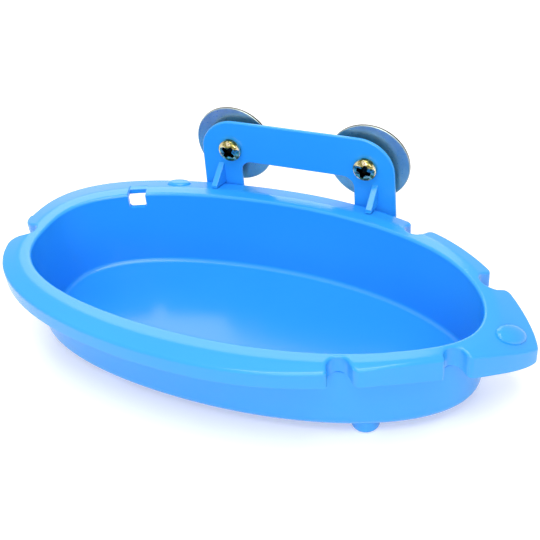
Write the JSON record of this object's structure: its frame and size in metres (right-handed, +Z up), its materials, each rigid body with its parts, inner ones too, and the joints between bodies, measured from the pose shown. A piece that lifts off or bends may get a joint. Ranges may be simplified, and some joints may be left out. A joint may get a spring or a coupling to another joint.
{
  "type": "cage bird bath",
  "caption": "Leaf-shaped moulded plastic bath with a turned-down notched rim and a pouring spout, hung on cage wires by a bracket with screw-tightened clamp discs.",
  "frame": {"origin": "bottom centre of the bounding box, on the plane the feet stand on", "axes": "+X along the tub towards the spout, +Y from the front of the tub towards the clamp discs, +Z up"},
  "size_m": [0.2173, 0.1304, 0.0747],
  "materials": {
    "tub_plastic": "glossy sky-blue moulded plastic",
    "bracket_plastic": "glossy sky-blue moulded plastic",
    "screw_metal": "yellow-zinc plated steel",
    "disc_metal": "bright zinc-plated steel",
    "nut_metal": "zinc-plated steel"
  },
  "bodies": {
    "bath": {"bath_tub": "tub_plastic", "hanger_bracket": "bracket_plastic"},
    "left_screw_body": {"left_screw": "screw_metal"},
    "right_screw_body": {"right_screw": "screw_metal"},
    "left_disc_body": {"left_clamp_disc": "disc_metal"},
    "right_disc_body": {"right_clamp_disc": "disc_metal"},
    "left_nut_body": {"left_nut": "nut_metal"},
    "right_nut_body": {"right_nut": "nut_metal"}
  },
  "joints": [
    {"name": "left_screw_turn", "type": "hinge", "parent": "bath", "child": "left_screw_body", "pos_m": [-0.0326, 0.04519, 0.0572], "axis": [0, 1, 0], "range_deg": [-3600, 0]},
    {"name": "right_screw_turn", "type": "hinge", "parent": "bath", "child": "right_screw_body", "pos_m": [0.0276, 0.04519, 0.0572], "axis": [0, 1, 0], "range_deg": [-3600, 0]},
    {"name": "left_disc_slide", "type": "slide", "parent": "bath", "child": "left_disc_body", "axis": [0, 1, 0], "range_m": [0, 0.008]},
    {"name": "right_disc_slide", "type": "slide", "parent": "bath", "child": "right_disc_body", "axis": [0, 1, 0], "range_m": [0, 0.008]},
    {"name": "left_nut_slide", "type": "slide", "parent": "bath", "child": "left_nut_body", "axis": [0, 1, 0], "range_m": [0, 0.008]},
    {"name": "right_nut_slide", "type": "slide", "parent": "bath", "child": "right_nut_body", "axis": [0, 1, 0], "range_m": [0, 0.008]}
  ],
  "couplings": [
    {"joint": "left_screw_turn", "follows": "left_disc_slide", "rad_per_m": -7853.9},
    {"joint": "right_screw_turn", "follows": "right_disc_slide", "rad_per_m": -7853.9},
    {"joint": "left_nut_slide", "follows": "left_disc_slide", "ratio": 1},
    {"joint": "right_nut_slide", "follows": "right_disc_slide", "ratio": 1}
  ]
}
